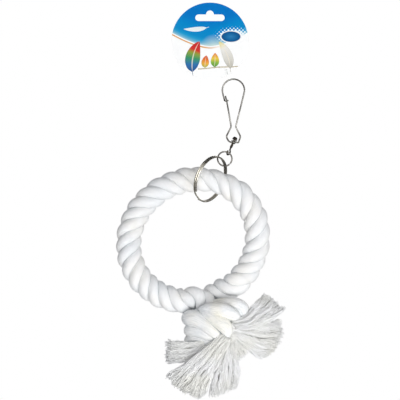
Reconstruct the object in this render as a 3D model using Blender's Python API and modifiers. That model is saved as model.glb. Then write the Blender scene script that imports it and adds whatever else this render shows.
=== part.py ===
"""Rope ring swing for birds.

A thick three-strand cotton rope is tied into a ring. It hangs from a split ring, a link ring, a swivel and
a sprung wire hook, and a round card is tied to the hook. The origin is the top of the hook's bend, on the
inside, where a cage bar carries it. X points right, Y points away from the viewer and Z points up.
"""

import math

import bmesh
import bpy
import numpy as np

MM = 0.001
OBJECT_NAME = "rope_ring_bird_swing"

# Clearances
SEAT_GAP = 0.3 * MM
STRAND_GAP = 0.3 * MM
COIL_GAP = 0.7 * MM
SAW_CUT = 0.6 * MM

# Snap hook, with drops measured down from the bar seat to the wire's centre line
HOOK_WIRE = 1.6 * MM
BEND_RADIUS = 11.1 * MM
GATE_TIP_DROP = 16.5 * MM
CATCH_DROP = 21.5 * MM
CATCH_LIP = 2.6 * MM
NECK_DROP = 47.0 * MM
NECK_WIDTH = 4.4 * MM
GATE_STUB = 3.0 * MM
LOOP_DROP = 56.6 * MM
LOOP_WIDTH = 14.4 * MM
HOOK_EYE_DROP = 62.2 * MM
HOOK_EYE_SHOULDER = 3.0 * MM
GATE_BEND_REACH = 6.4 * MM

# Swivel, with the throat of its eye in eye radii above and beside the eye's centre
SWIVEL_WIRE = 1.5 * MM
SWIVEL_LENGTH = 11.4 * MM
SWIVEL_TILT = math.radians(25)
SWIVEL_EYE_TURN = math.radians(35)
SWIVEL_EYE_START = math.radians(50)
SWIVEL_EYE_END = math.radians(302)
SWIVEL_THROAT_RISE = 1.05
SWIVEL_THROAT_REACH = 0.25
BEAD_DIAMETER = 4.8 * MM
BEAD_HEIGHT = 3.2 * MM
BEAD_DOME = 2.2 * MM

# Link ring and split ring
LINK_DIAMETER = 16.0 * MM
LINK_WIRE = 1.6 * MM
LINK_PLAY = 0.9 * MM
LINK_LEAN = math.radians(31)
LINK_CUT_ANGLE = math.radians(-45)
LINK_SEAT_ANGLE = math.radians(172)
SPLIT_DIAMETER = 48.6 * MM
SPLIT_WIRE = 1.6 * MM
SPLIT_GAP = 0.55 * MM
SPLIT_SEAT_ANGLE = math.radians(8)
SPLIT_CUT = math.radians(207)
SPLIT_STEP = math.radians(34)
SPLIT_ROLL = math.radians(67.1)
SPLIT_TILT = math.radians(55.5)

# Rope ring and its lay
ROPE_DIAMETER = 24.0 * MM
RING_WIDTH = 152.0 * MM
RING_HEIGHT = 146.0 * MM
LAY_LENGTH = 35.5 * MM
STRAND_COUNT = 3
HANG_ANGLE = math.radians(74.5)
HANG_REACH = math.radians(35)
HANG_DROP = 2.5 * MM
POINTS_PER_LAY = 9
OWN_RUN = 36.0 * MM
DENSE_SPACING = 1.0 * MM
FINE_SPACING = 0.05 * MM

# Knot. The places on the routes of the rope's two ends are in rope diameters from the crossing at the bottom
# of the ring. The front end runs through the knot, and the wrapping end runs round it with its strands spread
# flat, inner edge towards the knot's eye.
KNOT_ANGLE = math.radians(-75)
FRONT_END_ANGLE = math.radians(-100)
WRAP_END_ANGLE = math.radians(-46)
KNOT_SPREAD = 13.2 * MM
KNOT_THICKNESS = 3.0 * MM
KNOT_STRAND = 11.6 * MM
KNOT_EYE = (0.46, -1.50, -1.54)
FRONT_ROUTE = ((0.40, -0.92, -1.80), (0.30, -0.46, -1.26), (-0.02, -0.10, -0.66), (-0.52, 0.00, -0.20))
WRAP_ROUTE = (
    (0.31, 0.46, 0.02),
    (-0.36, 0.86, -0.46),
    (-0.70, 0.60, -1.15),
    (-0.70, -0.12, -1.50),
    (-0.48, -0.72, -1.20),
    (-0.06, -0.98, -0.80),
    (0.60, -1.00, -0.62),
    (1.14, -0.86, -0.78),
    (1.46, -0.64, -1.00),
)
WRAP_SPREAD = (0.0, 0.3, 0.7, 1.0, 1.0, 1.0, 1.0, 1.0, 1.0)

# Frayed ends: tip from the knot's crossing in rope diameters, then the half width of the cut tip
FRAY_GAP = 0.4 * MM
FRAY_FLATNESS = 0.4
FRAY_FLARE = 1.5
FRAY_ROOT = 0.86
FRAY_BEND = 0.3
FRAY_EDGE = math.radians(50)
RIGHT_BRUSHES = {
    "upper": ((2.68, -0.05, -0.18), 10.5 * MM),
    "middle": ((2.95, -1.00, -1.68), 17.5 * MM),
    "lower": ((1.27, -0.70, -2.62), 8.5 * MM),
}
LOWER_BRUSHES = {
    "left": ((-1.80, -0.55, -2.22), 9.0 * MM),
    "middle": ((-1.05, -1.35, -3.65), 18.5 * MM),
    "right": ((0.55, -1.35, -3.90), 17.5 * MM),
}

# Card and its tie
CARD_DIAMETER = 77.0 * MM
CARD_THICKNESS = 0.6 * MM
CARD_HOLE_INSET = 6.2 * MM
CARD_LEAN = math.radians(29.3)
SLOT_WIDTH = 29.4 * MM
SLOT_HEIGHT = 6.6 * MM
SLOT_BUMP = 8.0 * MM
SLOT_INSET = 15.2 * MM
TIE_THICKNESS = 0.9 * MM
TIE_LENGTH = 11.2 * MM
TIE_WIDTH = 5.0 * MM
TIE_ANGLE = math.radians(110)

# Share of a straight leg that the rounding of one of its corners may take
CORNER_SHARE = 0.45

RIGHT = np.array((1.0, 0.0, 0.0))
AWAY = np.array((0.0, 1.0, 0.0))
UP = np.array((0.0, 0.0, 1.0))


def point(x, y, z):
    return np.array((x, y, z), dtype=float)


def unit(vector):
    return vector / np.linalg.norm(vector)


def in_front_plane(angle):
    """Direction in the XZ plane, turned from +X towards +Z."""
    return math.cos(angle) * RIGHT + math.sin(angle) * UP


def rounded(corners, reach, steps=4):
    """Polyline through the corners, each inner corner replaced by a curve that starts one reach before it."""
    path = [corners[0]]
    for before, corner, after in zip(corners, corners[1:], corners[2:]):
        reach_in = min(reach, CORNER_SHARE * np.linalg.norm(before - corner))
        reach_out = min(reach, CORNER_SHARE * np.linalg.norm(after - corner))
        start = corner + unit(before - corner) * reach_in
        end = corner + unit(after - corner) * reach_out
        for step in range(steps + 1):
            t = step / steps
            path.append(start * (1 - t) ** 2 + corner * 2 * t * (1 - t) + end * t * t)
    path.append(corners[-1])
    return np.array(path)


def smooth(controls, steps=8):
    """Smooth curve through the control rows, which may carry more than the three coordinates."""
    rows = np.array(controls, dtype=float)
    rows = np.vstack((2 * rows[0] - rows[1], rows, 2 * rows[-1] - rows[-2]))
    curve = []
    for a, b, c, d in zip(rows, rows[1:], rows[2:], rows[3:]):
        for step in range(steps):
            t = step / steps
            slope = (c - a) * t
            bow = (2 * a - 5 * b + 4 * c - d) * t**2
            twist = (3 * b - a - 3 * c + d) * t**3
            curve.append(b + 0.5 * (slope + bow + twist))
    curve.append(rows[-2])
    return np.array(curve)


def travelled(points):
    """Distance along the polyline at each of its points."""
    runs = np.linalg.norm(np.diff(points[:, :3], axis=0), axis=1)
    return np.concatenate(((0.0,), np.cumsum(runs)))


def evenly(points, spacing):
    """The polyline's rows again, at about the given spacing along it."""
    along = travelled(points)
    count = max(2, round(along[-1] / spacing) + 1)
    places = np.linspace(0.0, along[-1], count)
    return np.column_stack([np.interp(places, along, column) for column in points.T])


def least_distance(first, second):
    """Least distance between the points of two polylines."""
    return np.linalg.norm(first[:, None, :] - second[None, :, :], axis=2).min()


def gap_to_itself(points, thickness):
    """Least gap between parts of one tube that are further apart along it than a few thicknesses."""
    dense = evenly(points, thickness / 6)
    along = travelled(dense)
    apart = np.linalg.norm(dense[:, None, :] - dense[None, :, :], axis=2)
    neighbours = np.abs(along[:, None] - along[None, :]) < 3 * thickness
    return np.where(neighbours, np.inf, apart).min() - thickness


def slide_until(gap_at, target, low, high):
    """Travel at which a gap that shrinks from low to high comes down to the target."""
    for _ in range(40):
        middle = 0.5 * (low + high)
        if gap_at(middle) > target:
            low = middle
        else:
            high = middle
    return low


def make_material(name, colour, roughness, metallic=0.0):
    material = bpy.data.materials.new(name)
    material.use_nodes = True
    shader = material.node_tree.nodes["Principled BSDF"]
    shader.inputs["Base Color"].default_value = (*colour, 1.0)
    shader.inputs["Roughness"].default_value = roughness
    shader.inputs["Metallic"].default_value = metallic
    return material


def add_to_model(obj, material):
    obj.data.materials.append(material)
    bpy.data.collections[OBJECT_NAME].objects.link(obj)
    return obj


def add_tube(name, points, radius, material, origin, bevel_resolution=1):
    """Round tube along the points, whose radius is one value or one for each point."""
    curve = bpy.data.curves.new(name, "CURVE")
    curve.dimensions = "3D"
    curve.bevel_depth = 1.0
    curve.bevel_resolution = bevel_resolution
    curve.use_fill_caps = True
    spline = curve.splines.new("POLY")
    spline.points.add(len(points) - 1)
    radii = np.broadcast_to(radius, len(points))
    for spline_point, place, size in zip(spline.points, points - origin, radii):
        spline_point.co = (*place, 1.0)
        spline_point.radius = size
    obj = bpy.data.objects.new(name, curve)
    obj.location = origin
    return add_to_model(obj, material)


def add_pivot(name, location, parent=None):
    """Empty on a joint's axis, which carries the pieces that move on that joint."""
    pivot = bpy.data.objects.new(name, None)
    pivot.empty_display_size = 5 * MM
    pivot.location = location
    bpy.data.collections[OBJECT_NAME].objects.link(pivot)
    if parent:
        carry(parent, pivot)
    return pivot


def carry(pivot, *pieces):
    """Parent the pieces to the pivot and leave them where they are."""
    bpy.context.view_layer.update()
    for piece in pieces:
        piece.parent = pivot
        piece.matrix_parent_inverse = pivot.matrix_world.inverted()


# Hook

HOOK_RADIUS = HOOK_WIRE / 2
WIRE_STEP = HOOK_WIRE + SEAT_GAP
BEND_CENTRE = point(0, 0, HOOK_RADIUS - BEND_RADIUS)
NECK_LEFT = point(-NECK_WIDTH / 2, 0, -NECK_DROP)
NECK_RIGHT = point(NECK_WIDTH / 2, 0, -NECK_DROP)
SWIVEL_DOWN = point(-math.sin(SWIVEL_TILT), 0, -math.cos(SWIVEL_TILT))
SWIVEL_SIDE = point(math.cos(SWIVEL_TILT), 0, -math.sin(SWIVEL_TILT))
HOOK_EYE = point(0, 0, -HOOK_EYE_DROP)
HOOK_EYE_RADIUS = SWIVEL_WIRE / 2 + SEAT_GAP + HOOK_RADIUS
HOOK_EYE_PITCH = HOOK_WIRE + COIL_GAP


def side_tangent():
    """Angle at which the bend runs straight into the line down to the neck, from +X on the right side."""
    to_neck = NECK_RIGHT - BEND_CENTRE
    reach = np.linalg.norm(to_neck)
    return math.atan2(to_neck[2], to_neck[0]) + math.acos(BEND_RADIUS / reach)


def left_side():
    """Top of the hook's straight left side, its direction down and its normal into the hook."""
    angle = math.pi - side_tangent()
    top = BEND_CENTRE + BEND_RADIUS * in_front_plane(angle)
    down = unit(NECK_LEFT - top)
    return top, down, point(-down[2], 0, down[0])


def on_left_side(drop):
    top, down, _ = left_side()
    return top + down * ((top[2] + drop) / -down[2])


def beside_catch(drop):
    """Place beside the catch, one wire further into the hook, where the gate lies."""
    return on_left_side(drop) + left_side()[2] * WIRE_STEP


def gate_foot():
    """Place just above the neck where the springy gate begins."""
    return NECK_LEFT + GATE_STUB * unit(beside_catch(CATCH_DROP + HOOK_WIRE) - NECK_LEFT)


def hook_route():
    inward = left_side()[2]
    catch = on_left_side(CATCH_DROP) - AWAY * WIRE_STEP
    lip = [catch + inward * (WIRE_STEP + CATCH_LIP - HOOK_RADIUS), catch]
    lip.append(on_left_side(CATCH_DROP - WIRE_STEP))
    start = math.pi - side_tangent()
    bend_steps = 20
    turns = np.linspace(start, side_tangent(), bend_steps + 1)
    bend = [BEND_CENTRE + BEND_RADIUS * in_front_plane(turn) for turn in turns]
    upper = rounded(lip + [bend[0]], HOOK_WIRE)
    right_corner = point(LOOP_WIDTH / 2, 0, -LOOP_DROP)
    left_corner = point(-LOOP_WIDTH / 2, 0, -LOOP_DROP)
    coil = hook_eye_coil()
    shoulder = SWIVEL_SIDE * (HOOK_EYE_RADIUS + HOOK_EYE_SHOULDER)
    right_leg = rounded([bend[-1], NECK_RIGHT, right_corner, coil[0] + shoulder, coil[0]], HOOK_WIRE)
    left_leg = rounded([coil[-1], coil[-1] - shoulder, left_corner, NECK_LEFT, gate_foot()], HOOK_WIRE)
    return np.vstack((upper[:-1], bend[:-1], right_leg[:-1], coil[:-1], left_leg))


def hook_eye_coil():
    """One turn of the hook's wire round the swivel post, from the right leg to the left leg."""
    steps = 18
    turn = np.linspace(0.5 * math.pi, 2.5 * math.pi, steps + 1)
    climb = np.linspace(0.5, -0.5, steps + 1) * HOOK_EYE_PITCH
    return np.array(
        [
            HOOK_EYE + HOOK_EYE_RADIUS * (math.cos(a) * SWIVEL_SIDE + math.sin(a) * AWAY) - h * SWIVEL_DOWN
            for a, h in zip(turn, climb)
        ]
    )


def make_hook(material):
    route = hook_route()
    print(f"hook wire: least gap to itself {gap_to_itself(route, HOOK_WIRE) / MM:.2f} mm")
    return add_tube("hook_wire", route, HOOK_RADIUS, material, point(0, 0, 0), bevel_resolution=2)


def make_gate(material):
    """Springy arm from the neck to its place behind the catch."""
    foot = gate_foot()
    shoulder = beside_catch(CATCH_DROP + HOOK_WIRE)
    start = foot + SEAT_GAP * unit(shoulder - foot)
    route = rounded([start, shoulder, beside_catch(GATE_TIP_DROP)], GATE_BEND_REACH)
    return add_tube("hook_gate", route, HOOK_RADIUS, material, foot, bevel_resolution=2)


# Swivel

SWIVEL_RADIUS = SWIVEL_WIRE / 2
SWIVEL_EYE_HOLE = LINK_WIRE / 2 + LINK_PLAY
SWIVEL_EYE_RADIUS = SWIVEL_EYE_HOLE + SWIVEL_RADIUS
SWIVEL_EYE = HOOK_EYE + SWIVEL_DOWN * SWIVEL_LENGTH
SWIVEL_EYE_ACROSS = math.cos(SWIVEL_EYE_TURN) * AWAY + math.sin(SWIVEL_EYE_TURN) * SWIVEL_SIDE
BEAD_REST = 0.5 * HOOK_EYE_PITCH + HOOK_RADIUS + SEAT_GAP


def swivel_eye_route():
    """Open eye at the lower end of the post, from its throat round to its cut end."""
    up = -SWIVEL_DOWN
    shank_end = SWIVEL_EYE + up * (SWIVEL_EYE_RADIUS + SWIVEL_WIRE)
    throat_offset = SWIVEL_THROAT_RISE * up + SWIVEL_THROAT_REACH * SWIVEL_EYE_ACROSS
    throat = SWIVEL_EYE + SWIVEL_EYE_RADIUS * throat_offset
    eye_steps = 16
    turns = np.linspace(SWIVEL_EYE_START, SWIVEL_EYE_END, eye_steps + 1)
    eye = [
        SWIVEL_EYE + SWIVEL_EYE_RADIUS * (math.cos(a) * up + math.sin(a) * SWIVEL_EYE_ACROSS) for a in turns
    ]
    return np.vstack((smooth([shank_end, throat, eye[0]], 4)[:-1], eye))


def make_swivel_post(material):
    """Wire pin whose lower end is bent into an open eye."""
    top = HOOK_EYE - SWIVEL_DOWN * (BEAD_REST + BEAD_HEIGHT - SEAT_GAP)
    route = np.vstack(([top], swivel_eye_route()))
    return add_tube("swivel_post", route, SWIVEL_RADIUS, material, SWIVEL_EYE, bevel_resolution=2)


def make_swivel_bead(material):
    """Turned stop bead that keeps the post in the hook's eye."""
    bore = SWIVEL_RADIUS + SEAT_GAP
    outer = BEAD_DIAMETER / 2
    crown_steps = 5
    crown = np.linspace(0.5 * math.pi, 0.0, crown_steps + 1)
    rim = BEAD_HEIGHT - BEAD_DOME
    profile = [(bore, BEAD_HEIGHT)]
    profile += [(bore + (outer - bore) * math.cos(a), rim + BEAD_DOME * math.sin(a)) for a in crown[1:]]
    profile += [(outer, 0.0), (bore, 0.0)]
    mesh = bpy.data.meshes.new("swivel_bead")
    edges = [(i, (i + 1) % len(profile)) for i in range(len(profile))]
    mesh.from_pydata([(r, 0.0, h) for r, h in profile], edges, [])
    obj = bpy.data.objects.new("swivel_bead", mesh)
    screw = obj.modifiers.new("turn", "SCREW")
    screw.steps = 20
    screw.render_steps = 20
    screw.use_merge_vertices = True
    screw.merge_threshold = 0.00001
    obj.location = HOOK_EYE - SWIVEL_DOWN * BEAD_REST
    obj.rotation_euler = (0.0, SWIVEL_TILT, 0.0)
    return add_to_model(obj, material)


# Link ring and split ring

LINK_RADIUS = LINK_WIRE / 2
LINK_LINE = LINK_DIAMETER / 2 - LINK_RADIUS
LINK_SPOKE = point(-math.sin(LINK_LEAN), 0, -math.cos(LINK_LEAN))
SPLIT_RADIUS = SPLIT_WIRE / 2
SPLIT_LINE = SPLIT_DIAMETER / 2 - SPLIT_RADIUS
SPLIT_PITCH = SPLIT_WIRE + SPLIT_GAP
SPLIT_LONG = in_front_plane(SPLIT_ROLL)
SPLIT_SHORT = math.cos(SPLIT_TILT) * point(SPLIT_LONG[2], 0, -SPLIT_LONG[0]) + math.sin(SPLIT_TILT) * AWAY
SPLIT_AXIS = np.cross(SPLIT_LONG, SPLIT_SHORT)
SPLIT_SPOKE = math.cos(SPLIT_SEAT_ANGLE) * SPLIT_LONG + math.sin(SPLIT_SEAT_ANGLE) * SPLIT_SHORT


def link_circle(steps):
    """Round the link ring about its own centre, from one side of its saw cut to the other."""
    half_cut = SAW_CUT / LINK_LINE / 2
    turns = np.linspace(LINK_CUT_ANGLE + half_cut, LINK_CUT_ANGLE + 2 * math.pi - half_cut, steps + 1)
    return np.array([LINK_LINE * in_front_plane(a) for a in turns])


def link_rest():
    """Place in the swivel's eye where the link ring's wire comes to rest."""
    eye = evenly(swivel_eye_route(), FINE_SPACING)
    link = link_circle(360) + SWIVEL_EYE + LINK_LINE * LINK_SPOKE

    def gap_at(travel):
        return least_distance(link + travel * SWIVEL_DOWN, eye) - LINK_RADIUS - SWIVEL_RADIUS

    return SWIVEL_EYE + slide_until(gap_at, SEAT_GAP, 0.0, SWIVEL_EYE_RADIUS) * SWIVEL_DOWN


def link_centre():
    return link_rest() + LINK_LINE * LINK_SPOKE


def split_coil(steps):
    """Two flat turns of the split ring about its own centre, with the step from one to the other between
    its two ends, on the side away from the rope."""
    half_step = SPLIT_STEP / 2
    turns = np.linspace(SPLIT_CUT + half_step, SPLIT_CUT + 4 * math.pi - half_step, 2 * steps + 1)
    climb = np.clip((turns - SPLIT_CUT - 2 * math.pi) / SPLIT_STEP, -0.5, 0.5)
    rise = 0.5 * np.sin(climb * math.pi) * SPLIT_PITCH
    return np.array(
        [SPLIT_LINE * (math.cos(a) * SPLIT_LONG + math.sin(a) * SPLIT_SHORT) + h * SPLIT_AXIS
         for a, h in zip(turns, rise)]
    )


def split_centre():
    """Centre of the split ring once its wire has come to rest in the link ring."""
    coil = split_coil(180)
    link = link_circle(180) + link_centre()
    seat = in_front_plane(LINK_SEAT_ANGLE)
    threaded = link_centre() - SPLIT_LINE * SPLIT_SPOKE

    def gap_at(travel):
        return least_distance(coil + threaded + travel * seat, link) - SPLIT_RADIUS - LINK_RADIUS

    return threaded + slide_until(gap_at, SEAT_GAP, 0.0, LINK_LINE) * seat


def make_link_ring(material):
    return add_tube("link_ring", link_circle(32) + link_centre(), LINK_RADIUS, material, link_rest(), 2)


def make_split_ring(centre, material):
    coil = split_coil(36) + centre
    print(f"split ring: least gap to itself {gap_to_itself(coil, SPLIT_WIRE) / MM:.2f} mm")
    return add_tube("split_ring", coil, SPLIT_RADIUS, material, centre, bevel_resolution=1)


# Rope

SIDE_BY_SIDE = 0.25
RING_LINE_X = (RING_WIDTH - ROPE_DIAMETER) / 2
RING_LINE_Z = (RING_HEIGHT - ROPE_DIAMETER) / 2


def on_ring(angle):
    """Centre line of the rope ring about the ring's own centre."""
    return point(RING_LINE_X * math.cos(angle), 0, RING_LINE_Z * math.sin(angle))


def hung_part(steps):
    """Centre line of the part of the ring that passes through the split ring."""
    turns = np.linspace(HANG_ANGLE - HANG_REACH, HANG_ANGLE + HANG_REACH, steps)
    return np.array([on_ring(turn) for turn in turns])


def knot_place(offset):
    """Place given in rope diameters from the crossing at the bottom of the ring."""
    return on_ring(KNOT_ANGLE) + np.array(offset) * ROPE_DIAMETER


def rope_route():
    """Rows along the rope about the ring's centre, from its front end, round the ring and through the knot to
    its wrapping end. Each row holds a place, the flat spread and the direction of that spread."""
    ring_steps = 30
    sweep = WRAP_END_ANGLE - 2 * math.pi - FRONT_END_ANGLE
    turns = [FRONT_END_ANGLE + sweep * step / ring_steps for step in range(ring_steps + 1)]
    rows = [(*knot_place(offset), 0.0, *-AWAY) for offset in FRONT_ROUTE]
    rows += [(*on_ring(turn), 0.0, *-AWAY) for turn in turns]
    for offset, flat in zip(WRAP_ROUTE, WRAP_SPREAD):
        place = knot_place(offset)
        to_eye = unit(knot_place(KNOT_EYE) - place)
        rows.append((*place, flat, *(flat * to_eye - (1 - flat) * AWAY)))
    return evenly(smooth(rows), LAY_LENGTH / POINTS_PER_LAY)


def strand_lines(lay_radius, seat):
    """Centre lines of the strands: a right-hand lay round the rope's line, which opens flat in the knot. The
    lay is tightened or eased a little so that a strand's crest faces the seat on the split ring."""
    route = rope_route()
    line = route[:, :3]
    flat = np.clip(route[:, 3], 0.0, 1.0)
    forward = np.gradient(line, axis=0)
    forward /= np.linalg.norm(forward, axis=1)[:, None]
    across = route[:, 4:] - (route[:, 4:] * forward).sum(axis=1)[:, None] * forward
    across /= np.linalg.norm(across, axis=1)[:, None]
    beside = np.cross(forward, across)
    lay_run = np.diff(travelled(route)) * (1 - 0.5 * (flat[1:] + flat[:-1]))
    turns = np.concatenate(((0.0,), np.cumsum(lay_run))) / LAY_LENGTH
    turns += SIDE_BY_SIDE - turns[-1]
    nearest = np.linalg.norm(line - seat, axis=1).argmin()
    to_seat = seat - line[nearest]
    facing = math.atan2(to_seat @ beside[nearest], to_seat @ across[nearest]) / (2 * math.pi)
    missed = (facing - turns[nearest]) * STRAND_COUNT
    missed = (missed - round(missed)) / STRAND_COUNT
    turns += np.interp(turns, (turns[0], turns[nearest], turns[-1]), (0.0, missed, 0.0))
    width = lay_radius + (KNOT_SPREAD - lay_radius) * flat
    depth = lay_radius + (KNOT_THICKNESS - lay_radius) * flat
    strands = []
    for index in range(STRAND_COUNT):
        phase = 2 * math.pi * (turns + index / STRAND_COUNT)
        strands.append(
            line + (width * np.cos(phase))[:, None] * across + (depth * np.sin(phase))[:, None] * beside
        )
    return strands, flat


def room_around(strands, index):
    """Distance from each point of a strand to the nearest other strand, or other turn of its own."""
    own = strands[index]
    room = np.full(len(own), np.inf)
    for other_index, other in enumerate(strands):
        dense = evenly(other, DENSE_SPACING)
        apart = np.linalg.norm(own[:, None, :] - dense[None, :, :], axis=2)
        if other_index == index:
            near = np.abs(travelled(own)[:, None] - travelled(dense)[None, :]) < OWN_RUN
            apart[near] = np.inf
        room = np.minimum(room, apart.min(axis=1))
    return room


def squeezed_radii(strands, index, widest):
    """Radius of a strand at each point: its free size, or what the neighbours leave it in the knot."""
    fits = np.minimum(widest, 0.5 * (room_around(strands, index) - STRAND_GAP))
    padded = np.pad(fits, 1, mode="edge")
    return np.minimum(np.minimum(padded[:-2], fits), padded[2:])


def laid_strands(seat):
    """Strand lines and radii, with the lay opened until the strands fill the rope's size."""
    strand_radius = ROPE_DIAMETER / 6
    for _ in range(6):
        strands, flat = strand_lines(ROPE_DIAMETER / 2 - strand_radius, seat)
        room = np.median(room_around(strands, 0)[flat == 0.0])
        strand_radius = 0.5 * (room - STRAND_GAP)
    widest = strand_radius + (KNOT_STRAND / 2 - strand_radius) * flat
    radii = [squeezed_radii(strands, index, widest) for index in range(STRAND_COUNT)]
    print(f"rope: {travelled(rope_route())[-1] / MM:.0f} mm long, strands of {2 * strand_radius / MM:.2f} mm")
    print(f"rope: thinnest strand {2 * min(r.min() for r in radii) / MM:.2f} mm")
    return strands, radii


def ring_centre(split_at):
    """Centre of the rope ring once it has come to rest against the far side of the split ring."""
    hung = split_at - UP * HANG_DROP - on_ring(HANG_ANGLE)
    coil = split_coil(180) + split_at
    rope = hung_part(240) + hung

    def gap_at(travel):
        return least_distance(rope + travel * AWAY, coil) - ROPE_DIAMETER / 2 - SPLIT_RADIUS

    return hung + slide_until(gap_at, SEAT_GAP, 0.0, ROPE_DIAMETER / 2) * AWAY


def rope_seat(split_at, ring_at):
    """Place on the split ring that the rope rests against, about the rope ring's centre."""
    coil = split_coil(180) + split_at - ring_at
    apart = np.linalg.norm(coil[:, None, :] - hung_part(240)[None, :, :], axis=2).min(axis=1)
    return coil[apart.argmin()]


def make_rope(strands, radii, centre, material):
    return [
        add_tube(f"rope_strand_{index + 1}", strand + centre, radius, material, centre, bevel_resolution=2)
        for index, (strand, radius) in enumerate(zip(strands, radii))
    ]


def make_brush(name, root, direction, strand_radius, tip, tip_radius, material):
    """Frayed strand end: it leaves the strand round, in its direction, and opens into a flat brush."""
    start = root + direction * FRAY_GAP
    root_radius = FRAY_ROOT * strand_radius
    bend = start + direction * FRAY_BEND * np.linalg.norm(tip - start)
    row_count = 7
    sides = 10
    brush = bmesh.new()
    rings = []
    for t in np.linspace(0.0, 1.0, row_count):
        place = start * (1 - t) ** 2 + bend * 2 * t * (1 - t) + tip * t * t
        forward = unit((bend - start) * (1 - t) + (tip - bend) * t)
        wide = unit(np.cross(forward, AWAY))
        thick = np.cross(wide, forward)
        half_width = root_radius + (tip_radius - root_radius) * t**FRAY_FLARE
        half_depth = root_radius + (tip_radius * FRAY_FLATNESS - root_radius) * t
        turns = [2 * math.pi * side / sides for side in range(sides)]
        spots = [place + half_width * math.cos(a) * wide + half_depth * math.sin(a) * thick for a in turns]
        rings.append([brush.verts.new(spot - start) for spot in spots])
    for lower, upper in zip(rings, rings[1:]):
        for side in range(sides):
            after = (side + 1) % sides
            brush.faces.new((lower[side], lower[after], upper[after], upper[side]))
    brush.faces.new(rings[0])
    brush.faces.new(rings[-1])
    bmesh.ops.recalc_face_normals(brush, faces=brush.faces)
    mesh = bpy.data.meshes.new(name)
    brush.to_mesh(mesh)
    brush.free()
    mesh.shade_smooth()
    mesh.set_sharp_from_angle(angle=FRAY_EDGE)
    obj = bpy.data.objects.new(name, mesh)
    obj.location = start
    return add_to_model(obj, material)


def make_brushes(prefix, ends, brushes, centre, material):
    """One brush for each strand end, which is given as its place, direction and radius."""
    made = []
    for (side, (tip, tip_radius)), (root, direction, radius) in zip(brushes.items(), ends):
        tip_place = knot_place(tip) + centre
        made.append(
            make_brush(f"{prefix}_{side}", root + centre, direction, radius, tip_place, tip_radius, material)
        )
    return made


# Card and tie

TIE_DIRECTION = in_front_plane(TIE_ANGLE)
TIE_ON_HOOK = BEND_CENTRE + BEND_RADIUS * TIE_DIRECTION
CARD_HOLE = TIE_ON_HOOK + TIE_LENGTH * TIE_DIRECTION
CARD_RADIUS = CARD_DIAMETER / 2
CARD_UP = point(-math.sin(CARD_LEAN), 0, math.cos(CARD_LEAN))
CARD_CENTRE = CARD_HOLE + (CARD_RADIUS - CARD_HOLE_INSET) * CARD_UP


def add_outline(curve, outline):
    spline = curve.splines.new("POLY")
    spline.points.add(len(outline) - 1)
    spline.use_cyclic_u = True
    for spline_point, (x, y) in zip(spline.points, outline):
        spline_point.co = (x, y, 0.0, 1.0)


def circle_outline(x, y, radius, steps):
    turns = [2 * math.pi * step / steps for step in range(steps)]
    return [(x + radius * math.cos(a), y + radius * math.sin(a)) for a in turns]


def slot_outline():
    """Round-ended peg slot with a round bump in the middle of its upper side."""
    end = SLOT_HEIGHT / 2
    reach = SLOT_WIDTH / 2 - end
    middle = CARD_RADIUS - SLOT_INSET
    bump = SLOT_BUMP / 2
    steps = 8
    half = [math.pi * step / steps for step in range(steps + 1)]
    right = [(reach + end * math.sin(a), middle - end * math.cos(a)) for a in half]
    crown = [(bump * math.cos(a), middle + end + bump * math.sin(a)) for a in half]
    left = [(-reach - end * math.sin(a), middle + end * math.cos(a)) for a in half]
    return right + crown + left


def make_card(material):
    curve = bpy.data.curves.new("header_card", "CURVE")
    curve.dimensions = "2D"
    curve.fill_mode = "BOTH"
    curve.extrude = CARD_THICKNESS / 2
    hole = CARD_HOLE - CARD_CENTRE
    hole_radius = TIE_THICKNESS / 2 + SEAT_GAP
    add_outline(curve, circle_outline(0.0, 0.0, CARD_RADIUS, 72))
    add_outline(curve, slot_outline())
    add_outline(curve, circle_outline(hole[0], hole[2], hole_radius, 16))
    obj = bpy.data.objects.new("header_card", curve)
    obj.location = CARD_CENTRE
    obj.rotation_euler = (0.5 * math.pi, 0.0, 0.0)
    return add_to_model(obj, material)


def make_tie(material):
    """Clear loop through the card's hole and round the hook's bend, with its ends butted on the far side."""
    tie_radius = TIE_THICKNESS / 2
    half_width = TIE_WIDTH / 2 - tie_radius
    lower = TIE_ON_HOOK - TIE_DIRECTION * (HOOK_RADIUS + SEAT_GAP + tie_radius)
    low_centre = lower + TIE_DIRECTION * half_width
    high_centre = CARD_HOLE - TIE_DIRECTION * half_width
    half = np.linspace(0.0, math.pi, 11)
    top = [high_centre + half_width * (math.cos(a) * AWAY + math.sin(a) * TIE_DIRECTION) for a in half]
    bottom = [low_centre - half_width * (math.cos(a) * AWAY + math.sin(a) * TIE_DIRECTION) for a in half]
    middle = 0.5 * (low_centre + high_centre) + half_width * AWAY
    half_cut = 0.5 * SAW_CUT * TIE_DIRECTION
    route = np.vstack(([middle + half_cut], top, bottom, [middle - half_cut]))
    return add_tube("card_tie", route, tie_radius, material, TIE_ON_HOOK)


def front_ends(strands, radii):
    """Place, outward direction and radius of each strand at the rope's front end, from left to right."""
    ends = [(line[0], unit(line[0] - line[1]), radius[0]) for line, radius in zip(strands, radii)]
    return sorted(ends, key=lambda end: end[0][0])


def wrap_ends(strands, radii):
    """Place, outward direction and radius of each strand at the rope's wrapping end, from the top down."""
    ends = [(line[-1], unit(line[-1] - line[-2]), radius[-1]) for line, radius in zip(strands, radii)]
    return sorted(ends, key=lambda end: -end[0][2])


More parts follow.
